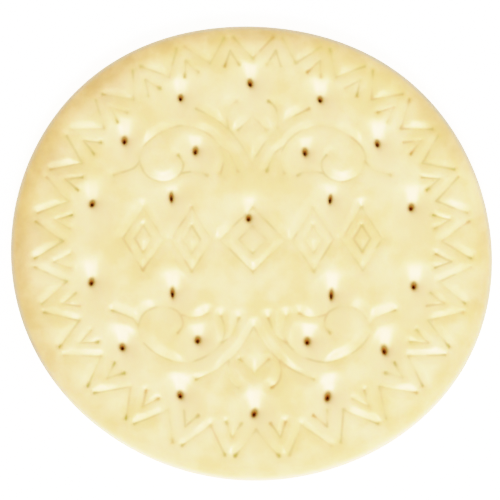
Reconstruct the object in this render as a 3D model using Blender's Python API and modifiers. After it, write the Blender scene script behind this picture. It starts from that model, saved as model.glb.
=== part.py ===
"""A marie biscuit: a thin oval of pale baked dough with a pattern pressed into its top face.

The outline is a circle that spread unevenly in the oven. The top carries a border of zigzag
strokes and small chevrons, two mirrored pairs of scrolls that meet in a lozenge above and below,
a row of plain lozenges across the middle, and 23 docker holes, each in a shallow dimple.

Metres, +Z up. The origin is under the middle of the biscuit, on the surface that it lies on.
"""

import math

import bpy
import bmesh
from mathutils import Matrix

MM = 0.001

# The dough: a disc whose rim rolls over at the top and is rounded under at the bottom.
MEAN_RADIUS = 32.5 * MM
THICKNESS = 6.2 * MM
WAIST_HEIGHT = 3.0 * MM
TOP_ROLL_WIDTH = 2.4 * MM
FOOT_ROLL_WIDTH = 1.6 * MM
ROLL_ROUNDNESS = 3.0
ROLL_STEPS = 6
RIM_STEPS = 84

# How far the rim leaves a circle: (crests round the rim, size, phase). The two-crested wave is the
# oval that the dough spread into, and the others are its small bulges.
RIM_WAVES = (
    (2, 0.98 * MM, math.radians(-19)),
    (4, 0.12 * MM, math.radians(-163)),
    (5, 0.09 * MM, math.radians(-98)),
)

# How far the dough carried the pressed marks sideways and up as it spread. Each entry is the
# distance at the rim for one product of powers of (x, y), both counted in mean radii.
DRIFT_SIDEWAYS = {
    (0, 1): -0.3 * MM, (1, 1): -1.4 * MM, (0, 2): 0.4 * MM, (3, 0): 0.3 * MM, (1, 2): 2.9 * MM,
}
DRIFT_UP = {
    (0, 1): 0.4 * MM, (2, 0): 0.9 * MM, (0, 2): 0.3 * MM, (2, 1): -2.9 * MM, (0, 3): -1.4 * MM,
}

# The pressed lines: a V-shaped groove, shallower at its ends. Its cutter's sides run on above the
# surface for this share of the depth.
GROOVE_DEPTH = 0.32 * MM
GROOVE_HALF_WIDTH = 0.42 * MM
CUTTER_RISE = 0.5
END_SHARE = 0.65
LINE_STEP = 0.75 * MM

# The middle of the whole pressed pattern, which sits a little above the biscuit's own.
PATTERN_CENTRE = (0.17 * MM, 1.14 * MM)

# The border: large V strokes that point inwards, with a small chevron between neighbours.
BORDER_COUNT = 28
STROKE_TIP_RADIUS = 26.05 * MM
STROKE_END_RADIUS = 30.15 * MM
STROKE_HALF_ANGLE = math.radians(5.2)
FAR_SIDE_SHORTENING = 0.9 * MM
CHEVRON_TIP_RADIUS = 27.3 * MM
CHEVRON_FOOT_RADIUS = 25.2 * MM
CHEVRON_HALF_ANGLE = math.radians(2.2)

# One quarter of the scrollwork, as millimetres (sideways, up) from its middle. Each line is a
# smooth curve through its points, and the other three quarters are its mirror images.
VOLUTE = (
    (4.42, 9.81), (3.94, 11.89), (4.70, 13.96), (6.91, 15.75), (9.67, 16.45), (12.58, 15.55),
    (14.93, 13.68), (15.62, 11.75), (14.65, 9.54), (12.44, 8.64), (10.23, 9.40), (9.54, 11.06),
    (10.23, 12.30),
)
VOLUTE_TAIL = ((9.88, 9.78), (8.43, 9.99), (7.26, 9.92), (6.29, 9.47))
OUTER_FLICK = ((15.60, 11.40), (16.31, 10.57), (17.41, 10.09), (19.14, 9.54))
INNER_FLICK = ((4.40, 13.50), (3.25, 12.71), (2.56, 11.47), (2.00, 10.09))
STEM = ((7.74, 18.79), (4.84, 17.20), (2.42, 14.93), (0.00, 11.30))
LOZENGE_SIDE = ((3.40, 16.10), (3.50, 17.20), (3.35, 18.40), (2.90, 19.28), (2.18, 19.83))
LOZENGE_CHEVRON = ((1.95, 15.80), (0.00, 17.75))

# A row of lozenges across the middle, each with a smaller one inside it.
ROW_RISE = 0.7 * MM
ROW_HALF_HEIGHT = 4.4 * MM
MIDDLE_HALF_WIDTH = 4.5 * MM
OUTER_HALF_WIDTH = 2.8 * MM
ROW_GAP = 1.1 * MM
ROW_SIDE_COUNT = 2
INNER_SHARE = 0.42

# Docker holes: a ring, two mirrored sets of four inside it, and a single one near the middle. The
# whole set is sheared a little, and each hole lies in the bottom of a shallow round dimple.
RING_TURNS = [math.radians(turn) for turn in (0, 25, 50, 75, 102.5, 127.5, 153.5, 180)]
RING_RADIUS = 22.8 * MM
RING_CENTRE = (0.11 * MM, 0.62 * MM)
INNER_CENTRE = (0.0, 0.91 * MM)
INNER_HOLES = ((7.57 * MM, 13.06 * MM), (10.97 * MM, 6.60 * MM))
SINGLE_HOLE = (-0.33 * MM, 4.78 * MM)
HOLE_SHEAR = 0.012
DIMPLE_RADIUS = 3.2 * MM
DIMPLE_SHOULDER_RADIUS = 1.9 * MM
DIMPLE_SHOULDER_DEPTH = 0.20 * MM
DIMPLE_DEPTH = 0.38 * MM
HOLE_MOUTH_RADIUS = 0.62 * MM
HOLE_THROAT_DEPTH = 0.8 * MM
HOLE_RADIUS = 0.40 * MM
HOLE_TIP_RADIUS = 0.32 * MM
HOLE_DEPTH = 4.8 * MM
PIN_STEPS = 12
PIN_RISE = 0.06 * MM

DOUGH_COLOUR = (0.88, 0.77, 0.45, 1.0)
DOUGH_ROUGHNESS = 0.62
SHARP_ANGLE = math.radians(28)
WELD = 0.0001 * MM


def rim_radius(angle):
    """Distance from the middle to the rim in this direction."""
    return MEAN_RADIUS + sum(size * math.cos(crests * angle - phase) for crests, size, phase in RIM_WAVES)


def roll_height(inset, width, height):
    """Height that a rounded edge keeps at this distance inside the rim, from 0 to its full height."""
    across = min(max(1 - inset / width, 0.0), 1.0)
    return height * (1 - across**ROLL_ROUNDNESS) ** (1 / ROLL_ROUNDNESS)


def top_height(x, y):
    """Height of the plain top face at a place, before anything is pressed into it."""
    stretch = rim_radius(math.atan2(y, x)) / MEAN_RADIUS
    inset = MEAN_RADIUS - math.hypot(x, y) / stretch
    return WAIST_HEIGHT + roll_height(inset, TOP_ROLL_WIDTH, THICKNESS - WAIST_HEIGHT)


def drifted(x, y):
    """Where a pressed mark ends up once the dough has spread."""
    across, along = x / MEAN_RADIUS, y / MEAN_RADIUS
    sideways, up = (
        sum(size * across**i * along**j for (i, j), size in drift.items())
        for drift in (DRIFT_SIDEWAYS, DRIFT_UP)
    )
    return x + sideways, y + up


def polar(radius, angle, centre=PATTERN_CENTRE):
    """A place at this radius from a centre. The angle runs clockwise from the far side, +Y."""
    return centre[0] + radius * math.sin(angle), centre[1] + radius * math.cos(angle)


def rim_profile():
    """The rim's section, from the edge of the flat top down to the edge of the flat foot."""
    quarter = [math.pi / 2 * step / ROLL_STEPS for step in range(ROLL_STEPS + 1)]
    power = 2 / ROLL_ROUNDNESS
    top = [
        (
            MEAN_RADIUS - TOP_ROLL_WIDTH * (1 - math.sin(turn) ** power),
            WAIST_HEIGHT + (THICKNESS - WAIST_HEIGHT) * max(math.cos(turn), 0.0) ** power,
        )
        for turn in quarter
    ]
    foot = [
        (
            MEAN_RADIUS - FOOT_ROLL_WIDTH * (1 - max(math.cos(turn), 0.0) ** power),
            WAIST_HEIGHT * (1 - math.sin(turn) ** power),
        )
        for turn in quarter[1:]
    ]
    return top + foot


def turned(name, profile, steps, collection):
    """A solid of revolution about Z from a profile that runs down its outer side."""
    mesh = bpy.data.meshes.new(name)
    mesh.from_pydata(
        [(radius, 0, height) for radius, height in profile],
        [(i, i + 1) for i in range(len(profile) - 1)],
        [],
    )
    guide = bpy.data.objects.new(name + "_profile", mesh)
    bpy.context.scene.collection.objects.link(guide)
    screw = guide.modifiers.new("turn", "SCREW")
    screw.steps = screw.render_steps = steps
    screw.use_merge_vertices = True
    screw.merge_threshold = WELD
    solid = bmesh.new()
    solid.from_mesh(baked(guide, name))
    bmesh.ops.holes_fill(solid, edges=solid.edges, sides=0)
    return finished(solid, name, guide, collection)


def baked(source, name):
    """A mesh of an object as its modifiers leave it."""
    graph = bpy.context.evaluated_depsgraph_get()
    mesh = bpy.data.meshes.new_from_object(source.evaluated_get(graph))
    mesh.name = name
    return mesh


def finished(solid, name, guide, collection):
    """An object from a bmesh, welded and with its faces out. The guide that it came from goes."""
    bmesh.ops.remove_doubles(solid, verts=solid.verts, dist=WELD)
    bmesh.ops.recalc_face_normals(solid, faces=solid.faces)
    mesh = bpy.data.meshes.new(name)
    solid.to_mesh(mesh)
    solid.free()
    bpy.data.objects.remove(guide)
    result = bpy.data.objects.new(name, mesh)
    collection.objects.link(result)
    return result


def smooth_line(points, step=LINE_STEP):
    """Places a step apart on a smooth curve through a few points."""
    places = [points[0]]
    ends = [points[0], *points, points[-1]]
    for before, start, end, after in zip(ends, ends[1:], ends[2:], ends[3:]):
        count = max(round(math.dist(start, end) / step), 1)
        for i in range(1, count + 1):
            t = i / count
            weights = (
                (-t + 2 * t**2 - t**3) / 2,
                (2 - 5 * t**2 + 3 * t**3) / 2,
                (t + 4 * t**2 - 3 * t**3) / 2,
                (t**3 - t**2) / 2,
            )
            corners = (before, start, end, after)
            places.append(tuple(sum(w * c[k] for w, c in zip(weights, corners)) for k in (0, 1)))
    return places


def scroll_line(points, across, along):
    """One line of the scrollwork, in the quarter that the two signs name."""
    sized = [(x * MM, y * MM) for x, y in points]
    return [
        (PATTERN_CENTRE[0] + across * x, PATTERN_CENTRE[1] + along * y)
        for x, y in smooth_line(sized)
    ]


def quarters(points):
    """A line of the scrollwork in all four quarters."""
    return [scroll_line(points, across, along) for along in (1, -1) for across in (1, -1)]


def halves(points):
    """A line that meets its own mirror image on the middle, as one line above and one below."""
    return [
        scroll_line(points, 1, along) + scroll_line(points, -1, along)[-2::-1]
        for along in (1, -1)
    ]


def border_strokes():
    """The large V strokes, each with its tip towards the middle. They are shorter at the far side."""
    for number in range(BORDER_COUNT):
        turn = math.tau * number / BORDER_COUNT
        tip = polar(STROKE_TIP_RADIUS, turn)
        end_radius = STROKE_END_RADIUS - FAR_SIDE_SHORTENING * ((1 + math.cos(turn)) / 2) ** 2
        ends = [polar(end_radius, turn + side * STROKE_HALF_ANGLE) for side in (-1, 1)]
        yield [ends[0], midway(ends[0], tip), tip, midway(tip, ends[1]), ends[1]]


def border_chevrons():
    """The small chevrons, each with its tip towards the rim."""
    for number in range(BORDER_COUNT):
        turn = math.tau * (number + 0.5) / BORDER_COUNT
        feet = [polar(CHEVRON_FOOT_RADIUS, turn + side * CHEVRON_HALF_ANGLE) for side in (-1, 1)]
        yield [feet[0], polar(CHEVRON_TIP_RADIUS, turn), feet[1]]


def row_lozenges():
    """The plain lozenges across the middle, each as a closed line of four corners."""
    x, y = PATTERN_CENTRE[0], PATTERN_CENTRE[1] + ROW_RISE
    first = MIDDLE_HALF_WIDTH + ROW_GAP + OUTER_HALF_WIDTH
    step = ROW_GAP + 2 * OUTER_HALF_WIDTH
    outer = [side * (first + number * step) for side in (-1, 1) for number in range(ROW_SIDE_COUNT)]
    for offset in (0.0, *outer):
        half_width = OUTER_HALF_WIDTH if offset else MIDDLE_HALF_WIDTH
        for share in (1.0, INNER_SHARE):
            yield [
                (x + offset, y + share * ROW_HALF_HEIGHT),
                (x + offset + share * half_width, y),
                (x + offset, y - share * ROW_HALF_HEIGHT),
                (x + offset - share * half_width, y),
            ]


def midway(a, b):
    return (a[0] + b[0]) / 2, (a[1] + b[1]) / 2


def groove_section(collection):
    """The grooves' cross section: a V with its bottom under the surface and its sides above it."""
    curve = bpy.data.curves.new("groove_section", "CURVE")
    spline = curve.splines.new("POLY")
    spline.points.add(2)
    rise = GROOVE_DEPTH * CUTTER_RISE
    half_top = GROOVE_HALF_WIDTH * (1 + CUTTER_RISE)
    corners = ((0.0, -GROOVE_DEPTH), (half_top, rise), (-half_top, rise))
    for point, (x, y) in zip(spline.points, corners):
        point.co = (x, y, 0, 1)
    spline.use_cyclic_u = True
    section = bpy.data.objects.new("groove_section", curve)
    collection.objects.link(section)
    return section


def groove_cutter(name, lines, section, collection, closed=False):
    """Cutters that follow lines on the top face, with the groove's section swept along each."""
    curve = bpy.data.curves.new(name, "CURVE")
    curve.dimensions = "3D"
    curve.twist_mode = "Z_UP"
    curve.bevel_mode = "OBJECT"
    curve.bevel_object = section
    curve.use_fill_caps = not closed
    for line in lines:
        spline = curve.splines.new("POLY")
        spline.points.add(len(line) - 1)
        for point, place in zip(spline.points, line):
            x, y = drifted(*place)
            point.co = (x, y, top_height(x, y), 1)
        if not closed:
            spline.points[0].radius = spline.points[-1].radius = END_SHARE
        spline.use_cyclic_u = closed
    guide = bpy.data.objects.new(name + "_lines", curve)
    bpy.context.scene.collection.objects.link(guide)
    solid = bmesh.new()
    solid.from_mesh(baked(guide, name))
    return finished(solid, name, guide, collection)


def hole_places():
    """The middles of the docker holes."""
    turns = (*RING_TURNS, *(-turn for turn in RING_TURNS[1:-1]))
    ring = [polar(RING_RADIUS, turn, RING_CENTRE) for turn in turns]
    inner = [
        (INNER_CENTRE[0] + across * x, INNER_CENTRE[1] + along * y)
        for x, y in INNER_HOLES
        for across in (1, -1)
        for along in (1, -1)
    ]
    return [(x - HOLE_SHEAR * y, y - HOLE_SHEAR * x) for x, y in (*ring, *inner, SINGLE_HOLE)]


def docker_pins(collection):
    """The pins that prick the dough, each flared into the dimple that it leaves round its hole."""
    profile = (
        (0.0, PIN_RISE),
        (DIMPLE_RADIUS + PIN_RISE, PIN_RISE),
        (DIMPLE_SHOULDER_RADIUS, -DIMPLE_SHOULDER_DEPTH),
        (HOLE_MOUTH_RADIUS, -DIMPLE_DEPTH),
        (HOLE_RADIUS, -HOLE_THROAT_DEPTH),
        (HOLE_TIP_RADIUS, HOLE_TIP_RADIUS - HOLE_DEPTH),
        (0.0, -HOLE_DEPTH),
    )
    pin = turned("docker_pin", profile, PIN_STEPS, collection)
    pins = bmesh.new()
    for x, y in hole_places():
        copied = pin.data.copy()
        copied.transform(Matrix.Translation((x, y, top_height(x, y))))
        pins.from_mesh(copied)
        bpy.data.meshes.remove(copied)
    return finished(pins, "docker_pins", pin, collection)


def dough(collection):
    """The plain oval biscuit, before its pattern is pressed."""
    biscuit = turned("biscuit", rim_profile(), RIM_STEPS, collection)
    for vertex in biscuit.data.vertices:
        stretch = rim_radius(math.atan2(vertex.co.y, vertex.co.x)) / MEAN_RADIUS
        vertex.co.x *= stretch
        vertex.co.y *= stretch
    return biscuit


def press(biscuit, cutters):
    """Takes every cutter of a collection out of the biscuit at once, and keeps the result."""
    cut = biscuit.modifiers.new("pattern", "BOOLEAN")
    cut.operation = "DIFFERENCE"
    cut.solver = "EXACT"
    cut.use_self = True
    cut.operand_type = "COLLECTION"
    cut.collection = cutters
    pressed = baked(biscuit, "biscuit")
    biscuit.modifiers.clear()
    biscuit.data = pressed
    pressed.shade_smooth()
    pressed.set_sharp_from_angle(angle=SHARP_ANGLE)


def dough_material():
    """Pale, dry baked dough."""
    material = bpy.data.materials.new("baked_dough")
    material.use_nodes = True
    shader = material.node_tree.nodes["Principled BSDF"]
    shader.inputs["Base Color"].default_value = DOUGH_COLOUR
    shader.inputs["Roughness"].default_value = DOUGH_ROUGHNESS
    shader.inputs["Metallic"].default_value = 0.0
    material.diffuse_color = DOUGH_COLOUR
    return material


def new_collection(name):
    collection = bpy.data.collections.new(name)
    bpy.context.scene.collection.children.link(collection)
    return collection


def main():
    for leftover in list(bpy.data.objects):
        bpy.data.objects.remove(leftover)
    bpy.context.scene.unit_settings.system = "METRIC"
    parts = new_collection("marie_biscuit")
    cutters = new_collection("cutters")
    guides = new_collection("guides")

    section = groove_section(guides)
    docker_pins(cutters)
    groove_cutter("border_cutter", [*border_strokes(), *border_chevrons()], section, cutters)
    groove_cutter("volute_cutter", quarters(VOLUTE), section, cutters)
    groove_cutter("stem_cutter", halves(STEM), section, cutters)
    branches = (VOLUTE_TAIL, OUTER_FLICK, INNER_FLICK, LOZENGE_SIDE)
    for number, branch in enumerate(branches):
        groove_cutter(f"branch_cutter_{number}", quarters(branch), section, cutters)
    groove_cutter("chevron_cutter", halves(LOZENGE_CHEVRON), section, cutters)
    groove_cutter("row_cutter", row_lozenges(), section, cutters, closed=True)

    biscuit = dough(parts)
    biscuit.data.materials.append(dough_material())
    press(biscuit, cutters)
    for helper in (*cutters.objects, *guides.objects):
        helper.hide_render = True
        helper.display_type = "WIRE"


main()
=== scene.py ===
"""A marie biscuit, seen from straight above on a bright table.

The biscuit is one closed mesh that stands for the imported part. Its top face is triangulated round
the pressed lines and the docker holes, and its heights come from the distance to them. Metres,
+Z up, with the origin under the middle of the biscuit.
"""

import math
from typing import NamedTuple

import bmesh
import bpy
import numpy as np
from bpy.props import FloatProperty, FloatVectorProperty, PointerProperty
from bpy.types import Operator, Panel, PropertyGroup
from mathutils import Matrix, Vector
from mathutils.geometry import delaunay_2d_cdt


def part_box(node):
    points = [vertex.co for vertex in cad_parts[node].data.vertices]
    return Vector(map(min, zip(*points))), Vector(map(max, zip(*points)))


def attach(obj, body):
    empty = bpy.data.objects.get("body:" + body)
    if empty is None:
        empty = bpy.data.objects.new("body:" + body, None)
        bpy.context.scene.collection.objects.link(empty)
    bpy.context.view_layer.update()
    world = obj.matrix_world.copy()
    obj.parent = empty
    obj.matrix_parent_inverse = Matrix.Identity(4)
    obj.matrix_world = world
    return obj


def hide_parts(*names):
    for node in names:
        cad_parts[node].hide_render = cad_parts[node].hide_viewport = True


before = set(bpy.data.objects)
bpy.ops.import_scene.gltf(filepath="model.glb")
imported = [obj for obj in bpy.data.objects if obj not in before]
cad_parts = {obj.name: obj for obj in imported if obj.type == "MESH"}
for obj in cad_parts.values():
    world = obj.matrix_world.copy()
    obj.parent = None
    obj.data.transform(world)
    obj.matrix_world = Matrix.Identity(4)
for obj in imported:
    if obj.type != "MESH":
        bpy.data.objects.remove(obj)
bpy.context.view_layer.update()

bl_info = {
    "name": "Marie Biscuit",
    "version": (1, 0, 0),
    "blender": (4, 5, 0),
    "location": "3D View > Sidebar > Biscuit",
    "description": "A pressed, docked and baked tea biscuit, and the table that it lies on",
    "category": "Add Mesh",
}

BISCUIT_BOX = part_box("biscuit")
MM = 0.001

# What is drawn at random: the seed, the least and the most of a spot's depth, a line's depth, a
# hole's size and a hole's length beside the plain ones, and how far a hole is turned either way.
SEED = 7
SPOT_RANGE = (0.15, 1.2)
STRENGTH_RANGE = (0.88, 1.10)
HOLE_SIZE_RANGE = (0.92, 1.08)
HOLE_LENGTH_RANGE = (0.85, 1.1)
HOLE_TURN_DEGREES = 22

# The photograph: its side in pixels, how much of the biscuit one pixel covers, and the pixel over
# the biscuit's middle.
PHOTO_SIDE = 500
PIXEL = 0.13824 * MM
MIDDLE_PIXEL = (251.5, 253.0)

# How far the rim leaves a circle: (crests round the rim, size, phase). Taken from the rim in the
# photograph by a Fourier transform, and rounded.
RIM_WAVES = (
    (2, 0.98 * MM, math.radians(-19)),
    (4, 0.12 * MM, math.radians(-163)),
    (5, 0.09 * MM, math.radians(-98)),
)

# How far the dough carried the pressed marks as it spread. Each entry is the distance at the rim
# for one product of powers of (x, y), both counted in mean radii. Most of them come from a
# least-squares fit to the marks in the photograph, and are rounded.
DRIFT_SIDEWAYS = {
    (0, 1): -0.3 * MM, (1, 1): -1.4 * MM, (0, 2): 0.4 * MM, (3, 0): 0.3 * MM, (1, 2): 2.9 * MM,
}
DRIFT_UP = {
    (0, 1): 0.4 * MM, (2, 0): 0.9 * MM, (0, 2): 0.3 * MM, (2, 1): -2.9 * MM, (0, 3): -1.4 * MM,
}

PATTERN_CENTRE = (0.17 * MM, 1.14 * MM)

# The border: large V strokes that point inwards, with a small chevron between neighbours.
BORDER_COUNT = 28
STROKE_TIP_RADIUS = 26.05 * MM
STROKE_END_RADIUS = 30.15 * MM
STROKE_HALF_ANGLE = math.radians(5.2)
FAR_SIDE_SHORTENING = 0.9 * MM
CHEVRON_TIP_RADIUS = 27.3 * MM
CHEVRON_FOOT_RADIUS = 25.2 * MM
CHEVRON_HALF_ANGLE = math.radians(2.2)

# How deep each kind of line is beside a plain groove, and how much of it the border's lines lose at
# the far side.
STROKE_STRENGTH = 0.79
STROKE_FADING = 0.05
CHEVRON_STRENGTH = 0.6
CHEVRON_FADING = 0.3
SCROLL_STRENGTH = 1.2
ROW_STRENGTH = 1.15

# One quarter of the scrollwork, as millimetres (sideways, up) from its middle.
VOLUTE = (
    (4.42, 9.81), (3.94, 11.89), (4.70, 13.96), (6.91, 15.75), (9.67, 16.45), (12.58, 15.55),
    (14.93, 13.68), (15.62, 11.75), (14.65, 9.54), (12.44, 8.64), (10.23, 9.40), (9.54, 11.06),
    (10.23, 12.30),
)
VOLUTE_TAIL = ((9.88, 9.78), (8.43, 9.99), (7.26, 9.92), (6.29, 9.47))
OUTER_FLICK = ((15.60, 11.40), (16.31, 10.57), (17.41, 10.09), (19.14, 9.54))
INNER_FLICK = ((4.40, 13.50), (3.25, 12.71), (2.56, 11.47), (2.00, 10.09))
STEM = ((7.74, 18.79), (4.84, 17.20), (2.42, 14.93), (0.00, 11.30))
LOZENGE_SIDE = ((3.40, 16.10), (3.50, 17.20), (3.35, 18.40), (2.90, 19.28), (2.18, 19.83))
LOZENGE_CHEVRON = ((1.95, 15.80), (0.00, 17.75))

# A row of lozenges across the middle, each with a smaller one inside it.
ROW_RISE = 0.7 * MM
ROW_HALF_HEIGHT = 4.4 * MM
MIDDLE_HALF_WIDTH = 4.5 * MM
OUTER_HALF_WIDTH = 2.8 * MM
ROW_GAP = 1.1 * MM
ROW_SIDE_COUNT = 2
INNER_SHARE = 0.42

# Docker holes: a ring, two mirrored sets of four inside it, and a single one near the middle.
RING_TURNS = [math.radians(turn) for turn in (0, 25, 50, 75, 102.5, 127.5, 153.5, 180)]
RING_RADIUS = 22.8 * MM
RING_CENTRE = (0.11 * MM, 0.62 * MM)
INNER_CENTRE = (0.0, 0.91 * MM)
WIDE_HOLES = (7.57 * MM, 13.06 * MM)
SLIT_HOLES = (10.97 * MM, 6.60 * MM)
SINGLE_HOLE = (-0.33 * MM, 4.78 * MM)
HOLE_SHEAR = 0.012

# How much larger a near hole is than a middle one, and the width, length and turn of the slits
# beside those of the other holes.
NEAR_GROWTH = 0.1
SLIT_WIDTH = 0.7
SLIT_LENGTH = 1.2
SLIT_TURN = 0.4

# The throat of a hole, from its mouth down: (share of the mouth, depth). It leans as it goes down.
THROAT = (
    (0.90, 0.04 * MM), (0.79, 0.11 * MM), (0.69, 0.21 * MM), (0.60, 0.34 * MM), (0.51, 0.50 * MM),
    (0.43, 0.70 * MM), (0.36, 0.92 * MM), (0.30, 1.15 * MM), (0.25, 1.6 * MM), (0.21, 2.4 * MM),
    (0.16, 3.8 * MM), (0.08, 4.0 * MM),
)
THROAT_LEAN = (-0.04 * MM, -0.17 * MM)
LEAN_DEPTH = 0.3 * MM

# The hollow round a hole: where its middle is from the hole's, half the width of its level bottom,
# and how wide it is sideways and how long on its near side, beside its radius on the far side.
DIMPLE_SHIFT = (0.14 * MM, -0.20 * MM)
DIMPLE_BOTTOM = 0.40 * MM
DIMPLE_WIDTH = 0.70
DIMPLE_NEAR_LENGTH = 1.4
DIMPLE_POWER = 3.0

# How far beyond a mouth the dough scorched, how far and how much toast and painted shade reach
# to its right, and how far that is turned to the near side. Then how much paler the hollow round a
# hole is painted, as painted light.
SCORCH_REACH = 0.24 * MM
TOAST_AND_SHADE_REACH = 1.1 * MM
TOAST_AND_SHADE_SIDE_SHARE = 0.5
TOAST_AND_SHADE_SLANT = 0.5
DIMPLE_LIGHTENING = 0.7
JUST_ABOVE_ZERO = 1e-6

# How finely the mesh is divided.
LINE_STEP = 0.28 * MM
ROW_OFFSETS = (0.10 * MM, 0.25 * MM, 0.46 * MM)
GRID_STEP = 0.34 * MM
UNDERSIDE_STEP = 0.7 * MM
RIM_STEPS = 480
TOP_EDGE_INSET = 0.9 * MM
ROLL_INSETS = [inset * MM for inset in (0.76, 0.62, 0.49, 0.37, 0.27, 0.18, 0.10, 0.04, 0.0)]
FOOT_STEPS = 10
HOLE_STEPS = 28
LIP_SHARES = (2.7, 2.2, 1.85, 1.6, 1.4, 1.25, 1.12)
LIP_REACH = 1.85

# The room that the mesh's places need: round a mouth, and inside the edge of the top face. For the
# rest it is a share of a row's offset, of the grid's step and of a mouth.
LIP_ROOM = 0.03 * MM
ROW_RIM_ROOM = 0.1 * MM
GRID_RIM_ROOM = 0.2 * MM
ROW_CLEARANCE = 0.85
ROW_ROOM = 0.6
GRID_ROOM = 0.7
MOUTH_CLEARANCE = 1.04

# From this turn on, a corner of a line has a fan of places round it.
SHARP_TURN = math.radians(40)
FAN_COUNT = 10

# How far the flanks of each kind of line reach, beside the groove reach. The shape of a flank: this
# power of the share of its reach goes round half a wave. Where two grooves run into each other, the
# last power of their depths adds up.
BORDER_REACH = 0.72
CHEVRON_REACH = 0.55
SCROLL_REACH = 0.87
ROW_REACH = 0.85
FLANK_POWER = 0.92
BLEND_POWER = 5.0
CREASE_REACH = 0.15 * MM
OUT_OF_REACH = 9.0 * MM

# The crease that runs out of a spot along its line.
TAIL_STRENGTH = 0.5
TAIL_LENGTH = 1.2 * MM

# How uneven the marks are in depth. The dough between them sinks by a mean share of the swell and
# by two ripples of it, a wide one and a small one.
UNEVENNESS = 0.15
MEAN_SINK = 1.2
WIDE_SINK = 0.5
SMALL_SINK = 0.3
WIDE_RIPPLE = 13 * MM
SMALL_RIPPLE = 5 * MM

# How much the rim browned all round and how that varies: (crests round the rim, size, phase). How
# far in the browning, the rim's edge and the band of painted light on its palest side reach. The
# rim's very edge is painted light where it browned least, and crust with painted shade where it
# browned most.
EVEN_BROWNING = 0.47
BROWNING_WAVES = ((1, 0.56, math.radians(113)), (2, 0.19, math.radians(-35)))
BROWNING_REACH = 5.2 * MM
EDGE_REACH = 0.45 * MM
EDGE_STRENGTH = 0.95
LIT_BAND_REACH = 4.0 * MM
LIT_BAND_STRENGTH = 0.45

# Shares of the browning's reach: where it is narrowest, what the left side adds, and its ripple.
# Then how fast it fades inwards, and how much the whole top browned more towards the left.
NARROWEST_BROWNING = 0.65
LEFT_WIDENING = 0.7
BROWNING_UNEVENNESS = 0.3
BROWNING_RIPPLE = 11 * MM
BROWNING_POWER = 1.7
LEFT_BROWNING = 0.1

# How brown the rim's foot and the underside are, how much the colour of the rim's edge shows there,
# and how uneven the underside is.
FOOT_BROWNING = 0.45
FOOT_EDGE = 0.7
SOLE_BROWNING = 0.5
SOLE_EDGE = 0.4
SOLE_RIPPLE = 9 * MM
SOLE_LIFT = 0.03 * MM

# The dull band inside the rim, where the stamp didn't smooth the skin, and the band inside it over
# which the skin gets smooth.
DULL_RIM = 1.9 * MM
FADING_RIM = 1.4 * MM

# The sizes of the finish's patches: pale and golden dough, its mottling and grain, creases painted
# brown with toast and shade, and creases where the painted shade shows. Then between which values of
# the noise each kind of patch fades in.
CLOUD_SIZE = 7 * MM
MOTTLE_SIZE = 2.2 * MM
GRAIN_SIZE = 0.5 * MM
TOASTED_SIZE = 6 * MM
CREASED_SIZE = 3.2 * MM
GOLDEN_FADE = (0.38, 0.62)
TOASTED_FADE = (0.48, 0.66)
CREASED_FADE = (0.43, 0.64)

# Where beside a line the painted shade of its hollow and the toast and painted shade of its crease
# fade in, and where down a hole the scorch and the deep toast, painted bright to lift the hole's
# shade, do. Then how much of each colour of a mark shows at most.
GROOVE_SHADE_FADE = (0.95 * MM, 0.1 * MM)
CREASE_SHADE_FADE = (0.34 * MM, 0.0)
SCORCH_FADE = (0.0, 0.3 * MM)
DEEP_TOAST_AND_LIGHT_FADE = (0.4 * MM, 1.6 * MM)
GROOVE_SHADE_SHARE = 0.2
SPOT_SHARE = 0.85
TOAST_AND_SHADE_COLOUR_SHARE = 0.9

# The stage: half the table's side, how far it lies under the biscuit, the camera's sensor, and the
# share of the biscuit's height at which the picture has the photograph's scale.
TABLE_HALF_SIDE = 3.0
TABLE_DROP = 0.02 * MM
SENSOR_WIDTH = 36.0
SCALE_HEIGHT = 0.75

# The tones of the picture: the brightness that turns white, and (brightness, tone) below it.
WHITE = 1.8
TONES = ((0.7, 0.7), (0.95, 0.86), (1.15, 0.913), (1.4, 0.968))


def length(name, description, default):
    """A size that a user can change."""
    return FloatProperty(name=name, description=description, default=default, unit="LENGTH", precision=5)


def colour(name, description, default):
    """A colour that a user can change."""
    return FloatVectorProperty(
        name=name, description=description, default=default, subtype="COLOR", min=0, max=1
    )


class BiscuitForm(PropertyGroup):
    """The plain biscuit, before its pattern is pressed."""

    mean_radius: length("Mean radius", "Half the mean width of the oval", 32.5 * MM)
    thickness: length("Thickness", "Height of the top face, as the packed part has it", BISCUIT_BOX[1].z)
    waist_height: length("Waist height", "Height at which the biscuit is widest", 3.0 * MM)
    top_roll_width: length(
        "Top roll width", "How far in from the rim the top face starts to roll over", 2.4 * MM
    )
    foot_roll_width: length("Foot roll width", "How far in from the rim the underside is flat", 1.6 * MM)
    roll_roundness: FloatProperty(
        name="Roll roundness", description="2 makes the edges elliptical, and more makes them fuller",
        default=3.0, min=1.5, max=6.0,
    )
    crown: length("Crown", "How far the top face falls away before its edge rolls over", 0.12 * MM)
    crown_width: length("Crown width", "How far in from the rim the top face starts to fall away", 6.0 * MM)
    swell: length("Swell", "How much the dough rises and sinks between the marks", 0.06 * MM)


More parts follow.
